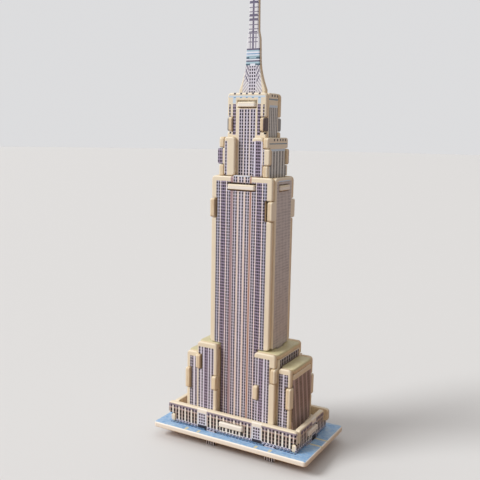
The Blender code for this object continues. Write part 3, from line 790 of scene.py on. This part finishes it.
def dress_boards():
    """Give every node its paint."""
    wing_roof = roof_paint("wing_roof_paint_high", "inner_wing_left_roof")
    wing_roof_low = roof_paint("wing_roof_paint_low", "outer_wing_left_roof")
    tab_reach = BOARD + 1.6
    looks = {
        "base_plate": base_paint(),
        "podium_deck": bare_paint("deck_wash", "podium_deck", "lying", WHITE_CREAM),
        "shaft_roof": roof_paint("shaft_roof_paint", "shaft_roof", tab_reach),
        "crown_roof": roof_paint("crown_roof_paint", "crown_roof", tab_reach),
        "spire_board": spire_paint(),
    }
    podium_long = podium_facade("podium_long_paint", "front", "podium_front_wall", middle=-1.6,
                                entrances=((-22.9, -17.2), (14.0, 19.5)), canopy=(-7.6, 7.6))
    # The short walls' pilasters are a pinker, darker cream than the long walls' white: painted shade,
    # for the browner look of the right wall, which stands in shade.
    podium_short = podium_facade("podium_short_paint", "side", "podium_right_wall", middle=0.0,
                                 entrances=((0.0, 5.0),), canopy=(-6.6, 6.6),
                                 pilasters=PINK_CREAM, plain_end=16.2)
    outer_front, inner_front = outer_wing_facade(), inner_wing_facade()
    outer_side, inner_side = outer_wing_side_facade(), inner_wing_side_facade()
    inner_bare = bare_paint("inner_side_wash", "inner_wing_left_inner_side", "side", WASH)
    shaft_front, shaft_side = shaft_facade(), shaft_side_facade()
    crown_front, crown_side = crown_facade(), crown_side_facade()
    tier_front, tier_side = tier_facade(), tier_side_facade()
    for side in ("front", "back"):
        looks[f"podium_{side}_wall"] = podium_long
        looks[f"shaft_{side}"] = shaft_front
        looks[f"crown_{side}"] = crown_front
    for side in ("left", "right"):
        looks[f"podium_{side}_wall"] = podium_short
        looks[f"shaft_{side}"] = shaft_side
        looks[f"crown_{side}"] = crown_side
        looks[f"tier_{side}_side"] = tier_side
        looks[f"outer_wing_{side}_side"] = outer_side
        looks[f"outer_wing_{side}_roof"] = wing_roof_low
        looks[f"inner_wing_{side}_outer_side"] = inner_side
        looks[f"inner_wing_{side}_inner_side"] = inner_bare
        looks[f"inner_wing_{side}_roof"] = wing_roof
        for facing in ("front", "back"):
            looks[f"outer_wing_{side}_{facing}"] = outer_front
            looks[f"inner_wing_{side}_{facing}"] = inner_front
            looks[f"tier_{facing}_{side}"] = tier_front
    for node, material in looks.items():
        make_board(node, material)


# Stage. Linear brightness of the room's sides, of what lies below the horizon, and of the backdrop.

ROOM_LEFT = (0.85, 0.85, 0.87, 1.0)
ROOM_FRONT = (0.55, 0.54, 0.54, 1.0)
ROOM_RIGHT = (0.35, 0.29, 0.25, 1.0)
ROOM_BELOW = (0.46, 0.45, 0.50, 1.0)
BACKDROP = (0.72, 0.72, 0.73, 1.0)
HORIZON = 0.1               # the room fades in between -HORIZON and HORIZON of the view's Z

# The floor and the warm card under it, in metres.
FLOOR_RADIUS = 6.0
FLOOR_PAINT = srgb(222, 221, 219)
CARD_RADIUS = 0.30
CARD_HEIGHT = -0.5 * MM
CARD_PAINT = (0.32, 0.17, 0.08, 1.0)

# The sun through the window.
SUN_STRENGTH = 2.3
SUN_ANGLE = radians(25)
SUN_COLOUR = (0.98, 0.99, 1.0)
SUN_DIRECTION = Vector((0.55, 0.55, -0.63))

# The camera: its place in metres, its turns in radians and its lens in millimetres.
CAMERA_PLACE = (0.1886, -0.3482, 0.1862)
CAMERA_YAW, CAMERA_PITCH, CAMERA_ROLL = 0.514, 0.16, 0.018
CAMERA_LENS = 51.525
CAMERA_SENSOR = 36.0


def make_disc(name, radius, height, colour, roughness):
    mesh = bpy.data.meshes.new(name)
    work = bmesh.new()
    bmesh.ops.create_circle(work, cap_ends=True, segments=64, radius=radius)
    work.to_mesh(mesh)
    work.free()
    disc = bpy.data.objects.new(name, mesh)
    disc.location.z = height
    material = bpy.data.materials.new(name + "_matt")
    material.use_nodes = True
    shader = material.node_tree.nodes["Principled BSDF"]
    shader.inputs["Base Color"].default_value = colour
    shader.inputs["Roughness"].default_value = roughness
    mesh.materials.append(material)
    bpy.context.scene.collection.objects.link(disc)
    return disc


def make_floor():
    """A pale floor for the eye, and under it a warm card that throws its light up at the boards."""
    floor = make_disc("floor", FLOOR_RADIUS, 0.0, FLOOR_PAINT, roughness=0.75)
    floor.visible_diffuse = False
    floor.visible_glossy = False
    floor.visible_shadow = False
    card = make_disc("warm_card", CARD_RADIUS, CARD_HEIGHT, CARD_PAINT, roughness=0.8)
    card.visible_camera = False


def make_lights():
    """Soft daylight from the front left, and a room that dims and warms towards the right."""
    data = bpy.data.lights.new("window_light", "SUN")
    data.energy = SUN_STRENGTH
    data.angle = SUN_ANGLE
    data.color = SUN_COLOUR
    sun = bpy.data.objects.new("window_light", data)
    sun.rotation_euler = SUN_DIRECTION.to_track_quat("-Z", "Y").to_euler()
    bpy.context.scene.collection.objects.link(sun)

    world = bpy.data.worlds.new("room")
    world.use_nodes = True
    tree = world.node_tree
    background = tree.nodes["Background"]
    split = tree.nodes.new("ShaderNodeSeparateXYZ")
    tree.links.new(tree.nodes.new("ShaderNodeTexCoord").outputs["Generated"], split.inputs[0])
    walls = tree.nodes.new("ShaderNodeValToRGB")
    walls.color_ramp.elements[0].color = ROOM_LEFT
    walls.color_ramp.elements[1].color = ROOM_RIGHT
    walls.color_ramp.elements.new(0.5).color = ROOM_FRONT
    from_left = tree.nodes.new("ShaderNodeMapRange")
    from_left.inputs["From Min"].default_value = -1.0
    tree.links.new(split.outputs["X"], from_left.inputs["Value"])
    tree.links.new(from_left.outputs["Result"], walls.inputs[0])
    horizon = tree.nodes.new("ShaderNodeMapRange")
    horizon.inputs["From Min"].default_value = -HORIZON
    horizon.inputs["From Max"].default_value = HORIZON
    tree.links.new(split.outputs["Z"], horizon.inputs["Value"])
    room = tree.nodes.new("ShaderNodeMix")
    room.data_type = "RGBA"
    room.inputs[6].default_value = ROOM_BELOW
    tree.links.new(horizon.outputs["Result"], room.inputs[0])
    tree.links.new(walls.outputs["Color"], room.inputs[7])
    seen = tree.nodes.new("ShaderNodeMix")
    seen.data_type = "RGBA"
    seen.inputs[7].default_value = BACKDROP
    tree.links.new(tree.nodes.new("ShaderNodeLightPath").outputs["Is Camera Ray"], seen.inputs[0])
    tree.links.new(room.outputs[2], seen.inputs[6])
    tree.links.new(seen.outputs[2], background.inputs["Color"])
    bpy.context.scene.world = world


def make_camera():
    """A camera that looks along its yaw and pitch, rolled about its line of sight."""
    yaw, pitch, roll = CAMERA_YAW, CAMERA_PITCH, CAMERA_ROLL
    level = Vector((-sin(yaw), cos(yaw), 0.0))
    right = Vector((cos(yaw), sin(yaw), 0.0))
    above = Vector((0.0, 0.0, 1.0))
    forward = level * cos(pitch) - above * sin(pitch)
    upward = level * sin(pitch) + above * cos(pitch)
    rolled_right = right * cos(roll) + upward * sin(roll)
    rolled_up = upward * cos(roll) - right * sin(roll)
    data = bpy.data.cameras.new("camera")
    data.sensor_width = CAMERA_SENSOR
    data.lens = CAMERA_LENS
    data.clip_start = 0.01
    camera = bpy.data.objects.new("camera", data)
    turned = Matrix((rolled_right, rolled_up, -forward)).transposed()
    camera.matrix_world = Matrix.Translation(CAMERA_PLACE) @ turned.to_4x4()
    bpy.context.scene.collection.objects.link(camera)
    bpy.context.scene.camera = camera


dress_boards()
make_floor()
make_lights()
make_camera()
bpy.context.scene.view_settings.view_transform = "Standard"
